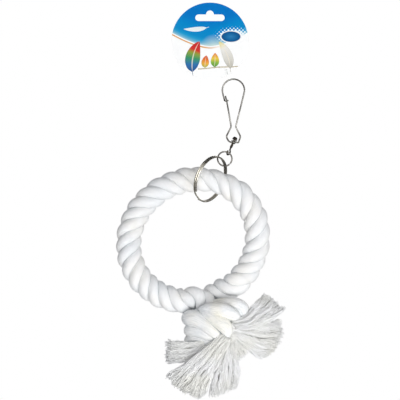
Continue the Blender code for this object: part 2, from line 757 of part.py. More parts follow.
def main():
    for obj in list(bpy.data.objects):
        bpy.data.objects.remove(obj)
    model = bpy.data.collections.new(OBJECT_NAME)
    bpy.context.scene.collection.children.link(model)

    nickel = make_material("nickel_wire", (0.72, 0.69, 0.64), 0.2, 1.0)
    gate_steel = make_material("gate_wire", (0.72, 0.69, 0.64), 0.22, 1.0)
    post_steel = make_material("post_wire", (0.66, 0.58, 0.45), 0.25, 1.0)
    bead_steel = make_material("bead_steel", (0.45, 0.42, 0.38), 0.3, 1.0)
    link_steel = make_material("link_wire", (0.68, 0.64, 0.57), 0.2, 1.0)
    split_steel = make_material("split_ring_wire", (0.62, 0.58, 0.52), 0.22, 1.0)
    cotton = make_material("cotton_strand", (0.86, 0.86, 0.85), 0.9)
    yarn = make_material("frayed_yarn", (0.8, 0.8, 0.78), 0.95)
    card = make_material("card_board", (0.35, 0.6, 0.78), 0.5)
    nylon = make_material("clear_nylon", (0.9, 0.9, 0.9), 0.3)

    hook = make_hook(nickel)
    gate = make_gate(gate_steel)
    header = make_card(card)
    tie = make_tie(nylon)
    post = make_swivel_post(post_steel)
    bead = make_swivel_bead(bead_steel)
    link = make_link_ring(link_steel)
    split_at = split_centre()
    split = make_split_ring(split_at, split_steel)
    ring_at = ring_centre(split_at)
    strands, radii = laid_strands(rope_seat(split_at, ring_at))
    rope = make_rope(strands, radii, ring_at, cotton)
    right_tassel = make_brushes("right_tassel", wrap_ends(strands, radii), RIGHT_BRUSHES, ring_at, yarn)
    lower_tassel = make_brushes("lower_tassel", front_ends(strands, radii), LOWER_BRUSHES, ring_at, yarn)

    gate_pivot = add_pivot("gate_pivot", gate_foot(), hook)
    card_pivot = add_pivot("card_pivot", TIE_ON_HOOK, hook)
    swivel_pivot = add_pivot("swivel_pivot", HOOK_EYE, hook)
    link_pivot = add_pivot("link_pivot", link_rest(), swivel_pivot)
    split_pivot = add_pivot("split_pivot", split_at + SPLIT_LINE * SPLIT_SPOKE, link_pivot)
    rope_pivot = add_pivot("rope_pivot", ring_at + on_ring(HANG_ANGLE), split_pivot)
    carry(gate_pivot, gate)
    carry(card_pivot, header, tie)
    carry(swivel_pivot, post, bead)
    carry(link_pivot, link)
    carry(split_pivot, split)
    carry(rope_pivot, *rope, *right_tassel, *lower_tassel)


main()
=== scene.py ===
# %% [markdown]
# # A cotton rope ring for a bird's cage
#
# The real swing is one length of thick cotton rope. It is laid from strands, bent into a ring and tied so that
# both of its ends fray out below the knot. A split ring, a link ring and a swivel hang it on a sprung wire hook,
# and a round printed card is tied to the hook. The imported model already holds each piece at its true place, in
# metres, and says how each one moves. This lesson dresses those pieces, so the first step is to load them.

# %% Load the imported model
import math

import bpy
import numpy as np
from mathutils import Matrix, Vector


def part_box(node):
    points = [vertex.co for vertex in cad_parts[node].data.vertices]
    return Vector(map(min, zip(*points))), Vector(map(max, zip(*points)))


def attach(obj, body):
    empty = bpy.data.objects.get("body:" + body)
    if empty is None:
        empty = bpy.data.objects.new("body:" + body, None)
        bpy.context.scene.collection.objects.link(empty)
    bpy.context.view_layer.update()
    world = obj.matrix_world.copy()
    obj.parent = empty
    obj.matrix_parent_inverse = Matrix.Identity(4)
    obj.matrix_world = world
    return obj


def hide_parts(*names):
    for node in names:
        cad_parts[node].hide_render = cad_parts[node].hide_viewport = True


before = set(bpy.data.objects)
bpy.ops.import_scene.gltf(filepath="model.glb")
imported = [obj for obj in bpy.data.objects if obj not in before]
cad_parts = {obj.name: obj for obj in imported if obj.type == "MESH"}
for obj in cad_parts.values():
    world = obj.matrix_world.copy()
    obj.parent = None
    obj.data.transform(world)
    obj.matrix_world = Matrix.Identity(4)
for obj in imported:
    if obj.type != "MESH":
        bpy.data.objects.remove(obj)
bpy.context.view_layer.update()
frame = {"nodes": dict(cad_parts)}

MM = 0.001
print("pieces in the model:", ", ".join(sorted(frame["nodes"])))

# %% [markdown]
# ## Camera
#
# The swing was photographed square on and from far away, so its ring shows no foreshortening. A long lens a metre
# and a half away gives the same flat look. The lens is worked out so that one pixel of the picture is one
# millimetre in the plane of the hook. That makes it easy to turn a place in the picture into a place in the model,
# and the helper below does that for any depth.

# %% Camera
VIEW_DISTANCE = 1.5
VIEW_ACROSS, VIEW_LEVEL = -0.0334, -0.1201
FRAME_SIZE = 0.4
PIXELS = 400
SENSOR = 36.0

bpy.ops.object.select_all(action="DESELECT")
bpy.ops.object.camera_add(location=(VIEW_ACROSS, -VIEW_DISTANCE, VIEW_LEVEL), rotation=(math.pi / 2, 0, 0))
camera = bpy.context.object
camera.data.sensor_width = SENSOR
camera.data.lens = SENSOR * VIEW_DISTANCE / FRAME_SIZE
bpy.context.scene.camera = camera
bpy.context.scene.view_settings.view_transform = "Standard"


def seen_at(across, down, depth):
    """Point that shows at a place in the picture, so many millimetres behind the plane of the hook."""
    pixel = FRAME_SIZE / PIXELS * (VIEW_DISTANCE + depth * MM) / VIEW_DISTANCE
    x = camera.location.x + (across - PIXELS / 2) * pixel
    z = camera.location.z - (down - PIXELS / 2) * pixel
    return np.array((x, depth * MM, z))


print(f"camera lens {camera.data.lens:.0f} mm")

# %% [markdown]
# ## Helpers for materials
#
# Every material below is a small tree of nodes. One function turns the hex colours that a designer writes down into
# the linear values that the shader needs. Another adds a node, sets it up and links it, and a third starts a
# material.

# %% Material helpers
def linear(hex_colour):
    """Linear colour of an sRGB hex value."""
    channels = [int(hex_colour[i : i + 2], 16) / 255 for i in (0, 2, 4)]
    return (*(c / 12.92 if c <= 0.04045 else ((c + 0.055) / 1.055) ** 2.4 for c in channels), 1.0)


def add_node(tree, kind, inputs, output=0, stops=(), **settings):
    """Add a node with its settings, link or set its inputs, and hand back one of its outputs.

    A colour ramp also gets its stops, each a place and a hex colour.
    """
    node = tree.nodes.new("ShaderNode" + kind)
    for name, value in settings.items():
        setattr(node, name, value)
    for name, value in inputs.items():
        if isinstance(value, bpy.types.NodeSocket):
            tree.links.new(value, node.inputs[name])
        else:
            node.inputs[name].default_value = value
    for index, (spot, colour) in enumerate(stops):
        elements = node.color_ramp.elements
        element = elements[index] if index < len(elements) else elements.new(spot)
        element.position = spot
        element.color = linear(colour)
    return node.outputs[output] if node.outputs else None


def new_material(name, **sockets):
    """Material with its node tree and its shader, whose sockets get the values given with _ for a space."""
    material = bpy.data.materials.new(name)
    material.use_nodes = True
    shader = material.node_tree.nodes["Principled BSDF"]
    for socket, value in sockets.items():
        shader.inputs[socket.replace("_", " ")].default_value = value
    return material, material.node_tree, shader


print("white in linear light:", linear("FFFFFF")[0])

# %% [markdown]
# ## Room and light
#
# The photograph has a plain white ground and soft light from the lower right, which leaves every side that faces up
# and left a little grey. A white world would light all sides alike, so the world is kept dim for the surfaces and
# shows full white only to the camera, to reflections and to what is seen through clear parts. Large lamps do the
# rest. One more stands behind the swing and only lights its back.

# %% World
WORLD_LIGHT = 0.38


def seen_directly(tree):
    """1 for a camera, glossy or transmitted ray, and 0 for the light that falls on surfaces."""
    camera_ray, glossy_ray, clear_ray = (
        add_node(tree, "LightPath", {}, f"Is {kind} Ray") for kind in ("Camera", "Glossy", "Transmission")
    )
    shiny = add_node(tree, "Math", {0: glossy_ray, 1: clear_ray}, operation="MAXIMUM")
    return add_node(tree, "Math", {0: camera_ray, 1: shiny}, operation="MAXIMUM")


world = bpy.data.worlds.new("white_room")
bpy.context.scene.world = world
world.use_nodes = True
room = world.node_tree
room.nodes.clear()
ambient = add_node(room, "Background", {"Color": linear("F6F8FB"), "Strength": WORLD_LIGHT})
white = add_node(room, "Background", {"Color": linear("FFFFFF"), "Strength": 1.0})
both = add_node(room, "MixShader", {0: seen_directly(room), 1: ambient, 2: white})
add_node(room, "OutputWorld", {"Surface": both})
print("world light", WORLD_LIGHT)

# %% Lamps
SWING_MIDDLE = -0.035
LAMP_AIM = np.array((SWING_MIDDLE, 0.0, -0.14))


def add_lamp(name, place, wide, high, power):
    """Area lamp that faces the rope ring, with its place and size in metres and its power in watts."""
    aim = LAMP_AIM - np.array(place)
    turn = (math.acos(-aim[2] / np.linalg.norm(aim)), 0.0, math.atan2(aim[1], aim[0]) - math.pi / 2)
    bpy.ops.object.light_add(type="AREA", location=place, rotation=turn)
    lamp = bpy.context.object
    lamp.name = name
    lamp.visible_camera = False
    lamp.data.shape = "RECTANGLE"
    lamp.data.size = wide
    lamp.data.size_y = high
    lamp.data.energy = power


add_lamp("key_light", (0.9, -1.15, -0.3), 0.8, 0.5, 5.2)
add_lamp("low_light", (0.1, -1.0, -0.53), 0.8, 0.25, 4.6)
add_lamp("front_light", (-0.1, -1.6, 0.0), 0.9, 0.9, 4.4)
add_lamp("back_light", (SWING_MIDDLE, 1.6, 0.0), 1.0, 1.0, 11.0)

# %% [markdown]
# Bright wire shows mostly what stands around it. Photographers put dark panels round it, just out of the picture, and
# the wire then gets dark flanks beside a light middle. These four panels can only be seen in reflections.

# %% Panels for the metal
PANEL_SIZE = 1.5
UPRIGHT, LEVEL = math.pi / 2, 0.0

# Matt black paint swallows nearly all light, so a panel reads as one dark shape in the wire.
panel_paint, _, _ = new_material("panel_black", Base_Color=linear("1C1C1C"), Roughness=1.0)
for name, place, turn in (
    ("panel_left", (-1.3, -0.1, 0.1), UPRIGHT), ("panel_right", (1.3, -0.1, 0.1), UPRIGHT),
    ("panel_above", (0.0, -0.1, 0.9), LEVEL), ("panel_below", (0.0, -0.1, -0.6), LEVEL),
):
    bpy.ops.mesh.primitive_plane_add(size=PANEL_SIZE, location=place, rotation=(0, turn, 0))
    panel = bpy.context.object
    panel.name = name
    panel.visible_camera = panel.visible_diffuse = panel.visible_shadow = panel.visible_transmission = False
    panel.data.materials.append(panel_paint)
print("panels stand on four sides")

# %% [markdown]
# The floor lies below the hanging swing and takes its soft shadow. Further out it fades into the white of the room,
# so that no horizon shows behind the swing.

# %% Floor
FLOOR_LEVEL = -0.62
FLOOR_RADIUS = 4.0
FADE_FROM, FADE_TO = 0.1, 0.5
WHITE_AT_CENTRE = 0.45

bpy.ops.mesh.primitive_circle_add(
    vertices=96, radius=FLOOR_RADIUS, fill_type="NGON", location=(SWING_MIDDLE, 0.0, FLOOR_LEVEL)
)
floor = bpy.context.object
floor.name = "pale_floor"
# Matt white paint has no shine, so it shows the shadow and nothing else of the swing.
floor_paint, tree, shader = new_material(
    "pale_floor_paint", Base_Color=linear("F4F4F3"), Roughness=0.9, Specular_IOR_Level=0.0
)
place = add_node(tree, "TexCoord", {}, "Object")
far = add_node(tree, "VectorMath", {0: place}, "Value", operation="LENGTH")
fade = add_node(
    tree, "MapRange", {"Value": far, "From Min": FADE_FROM, "From Max": FADE_TO, "To Min": WHITE_AT_CENTRE},
    interpolation_type="SMOOTHSTEP",
)
share = add_node(tree, "Math", {0: fade, 1: seen_directly(tree)}, operation="MULTIPLY")
glow = add_node(tree, "Emission", {"Color": linear("FFFFFF"), "Strength": 1.0})
blend = add_node(tree, "MixShader", {0: share, 1: shader.outputs[0], 2: glow})
tree.links.new(blend, tree.nodes["Material Output"].inputs["Surface"])
floor.data.materials.append(floor_paint)
print("floor at", FLOOR_LEVEL)

# %% [markdown]
# ## Bleached cotton
#
# Soft-laid cotton strand is a bundle of loose yarns, bleached but not optically white. It scatters light so much
# that it has no shine. The eye sees yarns that slant across each strand, fine streaks along them, patches a shade
# warmer or cooler, and grey where strands press together and hide the light. That grey is painted shade: where an
# ambient occlusion node finds a crease, the colour turns to a grey shade colour. The yarns follow the map that a swept
# curve gives its mesh, which runs along the strand in U and round it in V. The material stretches that map to
# millimetres and turns it to the yarns' slant first, so that every size below is a real one.

# %% Bleached cotton
WAVE_PERIOD = 2 * math.pi / 20
PATCH_SIZE = 28 * MM
STREAK_LENGTH, STREAK_WIDTH = 11, 1.5
# A yarn is about 1 mm thick, which is a single pixel here, so the yarns are drawn twice as wide.
YARN_PITCH = 2.2


def cotton(name, tints, shade, length, girth, slant, painted_shade_reach, streak_share):
    """Loose cotton on a strand of the given length and girth in millimetres, with yarns that slant across it."""
    material, tree, shader = new_material(name, Roughness=0.95, Specular_IOR_Level=0.1)
    place = add_node(tree, "TexCoord", {}, "Object")
    patches = add_node(tree, "TexNoise", {"Vector": place, "Scale": 1 / PATCH_SIZE, "Detail": 2.0})
    tint = add_node(tree, "ValToRGB", {"Fac": patches}, stops=zip((0.3, 0.5, 0.72), tints))
    laid = add_node(tree, "Mapping", {
        "Vector": add_node(tree, "TexCoord", {}, "UV"),
        "Scale": (length, girth, 1.0), "Rotation": (0.0, 0.0, math.radians(slant)),
    })
    drawn = add_node(tree, "Mapping", {"Vector": laid, "Scale": (1 / STREAK_LENGTH, 1 / STREAK_WIDTH, 1.0)})
    streaks = add_node(tree, "TexNoise", {"Vector": drawn, "Scale": 1.0, "Detail": 3.0, "Roughness": 0.6})
    streak = add_node(tree, "MapRange", {"Value": streaks, "From Min": 0.45, "From Max": 0.75, "To Max": streak_share})
    streaked = add_node(tree, "Mix", {0: streak, 6: tint, 7: linear(shade)}, 2, data_type="RGBA", blend_type="MULTIPLY")
    # Painted shade: where ambient occlusion finds a crease within the given reach, the colour turns to the shade
    # colour.
    ao_for_painted_shade = add_node(tree, "AmbientOcclusion", {"Distance": painted_shade_reach}, "AO", samples=8)
    lit = add_node(tree, "MapRange", {"Value": ao_for_painted_shade, "From Min": 0.1, "From Max": 0.65})
    colour = add_node(tree, "Mix", {0: lit, 6: linear(shade), 7: streaked}, 2, data_type="RGBA")
    tree.links.new(colour, shader.inputs["Base Color"])
    yarns = add_node(
        tree, "TexWave",
        {"Vector": laid, "Scale": WAVE_PERIOD / YARN_PITCH, "Distortion": 3.0, "Detail": 2.0, "Detail Scale": 0.4},
        "Fac", bands_direction="Y",
    )
    relief = add_node(tree, "Math", {0: yarns, 1: streaks}, operation="ADD")
    bump = add_node(tree, "Bump", {"Height": relief, "Strength": 0.4, "Distance": 0.5 * MM})
    tree.links.new(bump, shader.inputs["Normal"])
    return material


print("yarns drawn", YARN_PITCH, "mm apart")

# %% Cotton of the ring and of the knot
# The ring's strands are clean and pulled tight, so they look nearly white, with faint streaks and a pale grey painted
# shade in their creases.
ring_cotton = cotton(
    "laid_cotton", ("F3F5F7", "F8F8F8", "F8F6F2"), "D2D5D7",
    length=1320, girth=27, slant=35, painted_shade_reach=5 * MM, streak_share=0.18,
)
# The knot has been handled and squeezed, so it looks a little warmer, with plainer streaks and a darker painted shade
# in its creases that reaches further.
knot_cotton = cotton(
    "knotted_cotton", ("ECF0F3", "F7F7F7", "F7F4EA"), "B9BFC1",
    length=100, girth=40, slant=8, painted_shade_reach=8 * MM, streak_share=0.4,
)
print("cotton materials:", ring_cotton.name, knot_cotton.name)

# %% [markdown]
# ## Rope ring
#
# A rope-maker lays three strands round each other. Each one then presses against its two neighbours, so across the
# rope it has the shape of a slice of cake with a round outer edge. That slice is drawn once as a flat curve. It is
# swept along the rope's path and tilted by a full turn in each lay, which is how a curve's tilt makes a twisted
# sweep. Three sweeps a third of a turn apart fill the rope with no gap, which round tubes could not do. Cotton is
# never laid quite evenly, so slow waves vary the tilt of all three and the thickness of each. The split ring draws
# the rope in a little where it holds it, and the end that goes behind the knot gets thinner.

# %% A smooth run through a few points
STEPS_BETWEEN = 12


def flowing(controls, spacing):
    """Even rows along a smooth curve through the control rows, and how far along it each row is."""
    rows = np.array(controls, dtype=float)
    rows = np.vstack((2 * rows[0] - rows[1], rows, 2 * rows[-1] - rows[-2]))
    t = np.linspace(0.0, 1.0, STEPS_BETWEEN, endpoint=False)[:, None]
    curve = []
    for a, b, c, d in zip(rows, rows[1:], rows[2:], rows[3:]):
        bow = (2 * a - 5 * b + 4 * c - d) * t**2 + (3 * b - a - 3 * c + d) * t**3
        curve.append(b + 0.5 * ((c - a) * t + bow))
    curve = np.vstack((*curve, rows[-2]))
    along = np.concatenate(((0.0,), np.cumsum(np.linalg.norm(np.diff(curve[:, :3], axis=0), axis=1))))
    places = np.linspace(0.0, along[-1], max(2, round(along[-1] / spacing) + 1))
    return np.column_stack([np.interp(places, along, column) for column in curve.T]), places


print(STEPS_BETWEEN, "steps from point to point")

# %% Rope path
RING_CENTRE = np.array((-40.135, 2.863, -160.435)) * MM
RING_HALF = (65.6 * MM, 60.2 * MM)
RING_LEAN = math.radians(27)
RING_START, RING_SWEEP, RING_STEPS = -100, 306, 30
ROW_SPACING = 1.5 * MM
# Both ends leave the ring where they cross above the knot. Their points are in millimetres from there.
CROSSING = RING_CENTRE + np.array((15.8, 0.0, -56.2)) * MM
FRONT_END = ((7.2, -11.0, -30.0), (0.5, -2.4, -14.2), (-11.5, 0.0, -3.2))
BACK_END = ((7.4, 10.0, 1.8), (-3.0, 15.5, -7.5), (-8.0, 11.0, -21.0))


def on_ring(degrees):
    """Point of the leaning oval in a direction from its centre."""
    turn = math.radians(degrees)
    wide, high = math.cos(turn - RING_LEAN) / RING_HALF[0], math.sin(turn - RING_LEAN) / RING_HALF[1]
    return RING_CENTRE + np.array((math.cos(turn), 0.0, math.sin(turn))) / math.hypot(wide, high)


into_knot, out_of_knot = ([CROSSING + np.array(p) * MM for p in points] for points in (FRONT_END, BACK_END))
ring_points = [on_ring(RING_START - RING_SWEEP * step / RING_STEPS) for step in range(RING_STEPS + 1)]
rope_line, rope_run = flowing(into_knot + ring_points + out_of_knot, ROW_SPACING)
print(f"rope path {rope_run[-1] / MM:.0f} mm long, {len(rope_line)} points")

# %% Curves and meshes
def only(obj):
    """Make this the only selected object."""
    bpy.ops.object.select_all(action="DESELECT")
    obj.select_set(True)
    bpy.context.view_layer.objects.active = obj


def add_curve(name, splines, cyclic=False, dimensions="3D", **settings):
    """Curve of straight-run splines, each a list of rows of place, radius and tilt, whose sweep has closed ends."""
    curve = bpy.data.curves.new(name, "CURVE")
    curve.dimensions = dimensions
    curve.use_fill_caps = True
    for rows in splines:
        spline = curve.splines.new("POLY")
        spline.points.add(len(rows) - 1)
        spline.use_cyclic_u = cyclic
        for point, (place, radius, tilt) in zip(spline.points, rows):
            point.co = (*place, 1.0)
            point.radius = radius
            point.tilt = tilt
    for setting, value in settings.items():
        setattr(curve, setting, value)
    obj = bpy.data.objects.new(name, curve)
    bpy.context.scene.collection.objects.link(obj)
    return obj


def edit(piece, chosen=None):
    """Enter edit mode on one piece, with all of it selected or only the vertices whose place passes a test."""
    only(piece)
    if chosen:
        for part in (*piece.data.edges, *piece.data.polygons):
            part.select = False
        for vertex in piece.data.vertices:
            vertex.select = chosen(vertex.co)
    bpy.ops.object.mode_set(mode="EDIT")
    if not chosen:
        bpy.ops.mesh.select_all(action="SELECT")


def to_mesh(obj, material):
    """Turn a curve into a closed, smooth mesh of the given material whose faces point outwards."""
    only(obj)
    bpy.ops.object.convert(target="MESH")
    piece = bpy.context.object
    edit(piece)
    bpy.ops.mesh.remove_doubles(threshold=0.001 * MM)
    bpy.ops.mesh.normals_make_consistent(inside=False)
    bpy.ops.object.mode_set(mode="OBJECT")
    piece.data.materials.clear()
    piece.data.materials.append(material)
    bpy.ops.object.shade_smooth()
    return piece


def carried(piece, body, slot, *nodes):
    """Let the piece ride on its body and stand for the model's plainer pieces. Its slot is not used."""
    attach(piece, body)
    if nodes:
        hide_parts(*nodes)
    print(piece.name, len(piece.data.polygons), "faces on", body)
    return piece


# %% Strand slice
ROPE_RADIUS = 12.9 * MM
GROOVE_DEPTH = 0.24
GROOVE_SHARPNESS = 2.2
SLICE_HALF = math.radians(59.6)
SLICE_POINTS = 27
INNER_TIP, FLANK = 0.06 * ROPE_RADIUS, 0.45 * ROPE_RADIUS


def from_middle(radius, angle):
    """Point of the flat slice at a distance and an angle from the rope's middle line."""
    return radius * math.cos(angle), radius * math.sin(angle), 0.0


fan = np.linspace(-SLICE_HALF, SLICE_HALF, SLICE_POINTS)
crown = ROPE_RADIUS * (1 - GROOVE_DEPTH * np.abs(fan / SLICE_HALF) ** GROOVE_SHARPNESS)
outline = [from_middle(INNER_TIP, 0.0), from_middle(FLANK, fan[0])]
outline += [from_middle(radius, angle) for radius, angle in zip(crown, fan)]
outline += [from_middle(FLANK, fan[-1])]
slice_curve = add_curve("strand_slice", [[(p, 1.0, 0.0) for p in outline]], cyclic=True, dimensions="2D")
print("slice of", len(outline), "points")

# %% Sweep the strands
STRANDS = 3
LAY_LENGTH = 40.3 * MM
LAY_START = math.radians(-33)
SPLIT_RING_SEAT = np.array((-15.0, 2.9, -99.5)) * MM
PINCH_DEPTH, PINCH_REACH = 0.105, 15 * MM
END_THINNING, END_LENGTH = 0.3, 22 * MM


def waves(run, *parts):
    """Sum of sine waves along a run, each given by its height, its millimetres for one radian and its start."""
    return sum(height * np.sin(run / (slowness * MM) + start) for height, slowness, start in parts)


from_seat = rope_run - rope_run[np.argmin(np.linalg.norm(rope_line - SPLIT_RING_SEAT, axis=1))]
pinched = 1 - PINCH_DEPTH * np.exp(-((from_seat / PINCH_REACH) ** 2))
drawn_in = 1 - END_THINNING * np.clip((rope_run - rope_run[-1]) / END_LENGTH + 1, 0, 1)
uneven_lay = waves(rope_run, (0.74, 60, -1.45), (0.09, 7.3, 1.0))
for index in range(STRANDS):
    tilts = 2 * math.pi * (rope_run / LAY_LENGTH + index / STRANDS) + LAY_START + uneven_lay
    swell = 1 + waves(rope_run, (0.018, 5.1, 2 * index), (0.014, 12.7, 4 * index))
    rows = list(zip(rope_line, swell * drawn_in * pinched, tilts))
    strand = add_curve(f"ring_strand_{index + 1}", [rows], bevel_mode="OBJECT", bevel_object=slice_curve)
    carried(to_mesh(strand, ring_cotton), "rope", "cotton_rope", f"rope_strand_{index + 1}")
bpy.data.objects.remove(slice_curve)

# %% [markdown]
# ## Knot
#
# Below the ring the rope's own strands are wound round its two ends and pulled tight. They come from the back, go
# round the left edge side by side and dive into the eye of the knot, where the frayed ends come out. Each of these
# wraps is a fat round sweep that swells in the middle and thins where it dives. A folded ball under them closes what
# the wraps leave open. The places are read off the picture, so that each crease falls where it shows there.

# %% Places of the wraps
# Each point is a place in the picture, with its depth and the wrap's radius there in millimetres.
WRAPS = {
    "knot_wrap_far": (
        (206, 306, 4, 4.0), (220, 304.5, -8, 6.4), (234, 304.3, -17, 7.0), (241.5, 308, -19, 6.8),
        (242.8, 314, -19, 6.0), (240, 320, -18, 5.0), (234, 327, -17, 4.0),
    ),
    "knot_wrap_top": (
        (200, 309.5, -13, 2.6), (207, 309, -19, 5.2), (217, 309.5, -24, 7.2), (226, 312, -26.5, 7.6),
        (233, 315.5, -25, 6.4), (237.5, 319.5, -20, 5.0), (238, 325, -13, 4.0),
    ),
    "knot_wrap_upper": (
        (222, 306, 14, 5.0), (206, 309, 20, 6.2), (193, 313, 17, 7.0), (189, 318, 5, 7.4), (190.5, 318, -9, 8.2),
        (197, 319.6, -17.5, 8.2), (204.5, 324.5, -23, 7.0), (211, 330, -26, 6.2), (217, 335.5, -26, 5.0),
        (221.5, 340.5, -22, 3.4),
    ),
    "knot_wrap_eye": (
        (202, 311, -14, 4.6), (210, 315, -22, 6.6), (218, 320.5, -26.5, 7.4), (225, 326.5, -28.5, 7.6),
        (227.5, 333, -27, 5.8), (228, 339, -22, 3.6),
    ),
    "knot_wrap_middle": (
        (228, 316, 16, 5.0), (210, 320, 23, 6.0), (194, 326, 19, 6.2), (190, 330, 5, 6.2), (191, 330.5, -9, 6.4),
        (197.5, 331.5, -17, 6.2), (205, 334, -22, 5.6), (212, 337.5, -24, 4.8), (218.5, 341.5, -23, 3.4),
    ),
    "knot_wrap_lower": (
        (230, 328, 12, 5.0), (213, 332, 18, 6.0), (196, 337, 14, 6.0), (190, 340, 3, 6.0), (192, 340, -9, 6.0),
        (200, 340, -16, 5.8), (209, 341.5, -21, 5.2), (217, 343, -22, 4.0),
    ),
    "knot_wrap_right": (
        (216, 300, 8, 5.0), (231, 305, 12, 6.4), (241, 315, 8, 6.4), (241, 327, 1, 6.2), (233, 337, -5, 5.8),
        (222, 342, -10, 5.0),
    ),
}
print(len(WRAPS), "wraps in the knot")

# %% Wraps of the knot
for name, controls in WRAPS.items():
    rows, along = flowing([(*seen_at(*c[:3]), c[3] * MM) for c in controls], ROW_SPACING)
    swell = 1 + waves(along, (0.03, 6.1, len(controls)), (0.02, 3.3, 0.0))
    points = [(row[:3], row[3] * more, 0.0) for row, more in zip(rows, swell)]
    # With a bevel depth of 1, each point's own radius is the thickness of the sweep there.
    wrap = add_curve(name, [points], bevel_depth=1.0, bevel_resolution=8)
    carried(to_mesh(wrap, knot_cotton), "rope", "cotton_rope")

# %% Heart of the knot
HEART_FOLDS = 5
FOLD_SLANT = 2.5
FOLD_LEVEL = -0.4
FOLD_INWARDS = (0.9, 0.9, 0.9)
POLE = 0.92
HEART_HALF = (27 * MM, 22 * MM, 19 * MM)
HEART_PLACE = seen_at(214, 322, -3)


def in_fold(place):
    """Whether a point of the ball lies in one of the folds that slant over it."""
    turn = HEART_FOLDS * math.atan2(place.x, -place.z) + FOLD_SLANT * place.y
    return math.sin(turn) < FOLD_LEVEL and abs(place.y) < POLE


bpy.ops.object.select_all(action="DESELECT")
bpy.ops.mesh.primitive_uv_sphere_add(segments=80, ring_count=40, radius=1.0)
heart = bpy.context.object
heart.name = "knot_heart"
edit(heart, in_fold)
bpy.ops.transform.resize(value=FOLD_INWARDS, center_override=(0, 0, 0))
bpy.ops.mesh.select_all(action="SELECT")
bpy.ops.mesh.vertices_smooth(factor=0.5, repeat=2)
bpy.ops.transform.resize(value=HEART_HALF, center_override=(0, 0, 0))
bpy.ops.transform.translate(value=HEART_PLACE)
bpy.ops.object.mode_set(mode="OBJECT")
heart.data.materials.append(knot_cotton)
bpy.ops.object.shade_smooth()
carried(heart, "rope", "cotton_rope")

# %% [markdown]
# ## Frayed ends
#
# Where the rope is cut, its strands open into loose yarn. A solid brush can't show that, so each frayed end is built
# from its yarns. They hang together in locks, as wet hair does: each lock has a soft core, and ten thin yarns wind
# round it. The locks leave the knot close together, spread as they go and stop at slightly different lengths. All of
# one end is one curve of many splines. A seeded random generator gives each lock its place and each yarn its wave,
# the same on every run.

# %% Frayed yarn
YARN_PATCH = 30 * MM
YARN_LENGTH = 50
PLY_PITCH = 1.309
PLIES_ROUND = 2.0
DIAGONAL_PERIOD = 2 * WAVE_PERIOD
YARN_GREY_AND_PAINTED_SHADE = "E6E6E2"

# Loose cotton yarn is thin enough to let light through. That softens the shadows between the yarns, so an end looks
# pale and fluffy. Each yarn is a shade of its own, and its plies make a fine slanting relief. Where yarns lie close
# together, the colour also gets a pale painted shade.
fray, tree, shader = new_material(
    "frayed_cotton_yarn", Roughness=0.95, Specular_IOR_Level=0.1,
    Subsurface_Weight=0.4, Subsurface_Radius=(1.0, 1.0, 1.0), Subsurface_Scale=2 * MM,
)
place = add_node(tree, "TexCoord", {}, "Object")
patches = add_node(tree, "TexNoise", {"Vector": place, "Scale": 1 / YARN_PATCH, "Detail": 1.0})
tint = add_node(tree, "ValToRGB", {"Fac": patches}, stops=((0.36, "FBFBFD"), (0.5, "FCFCFB"), (0.64, "FDFCF7")))
each = add_node(tree, "NewGeometry", {}, "Random Per Island")
shade = add_node(tree, "MapRange", {"Value": each, "To Max": 0.3})
tone = add_node(tree, "Mix", {0: shade, 6: tint, 7: linear(YARN_GREY_AND_PAINTED_SHADE)}, 2, data_type="RGBA", blend_type="MULTIPLY")
# Painted shade: where ambient occlusion finds yarns close together, the colour turns to the same pale grey.
ao_for_painted_shade = add_node(tree, "AmbientOcclusion", {"Distance": 4 * MM}, "AO", samples=8)
lit = add_node(tree, "MapRange", {"Value": ao_for_painted_shade, "From Min": 0.1, "From Max": 0.6})
colour = add_node(tree, "Mix", {0: lit, 6: linear(YARN_GREY_AND_PAINTED_SHADE), 7: tone}, 2, data_type="RGBA")
tree.links.new(colour, shader.inputs["Base Color"])
twist = add_node(tree, "Mapping", {
    "Vector": add_node(tree, "TexCoord", {}, "UV"),
    "Scale": (DIAGONAL_PERIOD * YARN_LENGTH / PLY_PITCH, PLIES_ROUND, 1.0),
})
plies = add_node(
    tree, "TexWave", {"Vector": twist, "Scale": 1.0, "Distortion": 0.5}, "Fac", bands_direction="DIAGONAL"
)
bump = add_node(tree, "Bump", {"Height": plies, "Strength": 0.5, "Distance": 0.15 * MM})
tree.links.new(bump, shader.inputs["Normal"])
print("yarn material:", fray.name)

# %% One lock of yarn
YARN_RADIUS = 0.42 * MM
YARNS_IN_LOCK = 10
LOCK_RADIUS = 1.9 * MM
LOCK_TWIST = 60 * MM
SWAY_ACROSS, SWAY_DEEP = 27 * MM, 31 * MM
CORE_SHORTER = 3 * MM
# Spreads in millimetres: how far a lock sways and a yarn wavers, and how unevenly locks and yarns end.
LOCK_SWAY, YARN_WAVER, LOCK_UNEVEN, YARN_UNEVEN = 1.1, 0.5, 1.3, 0.8
AWAY = np.array((0.0, 1.0, 0.0))
yarn_random = np.random.default_rng(7)


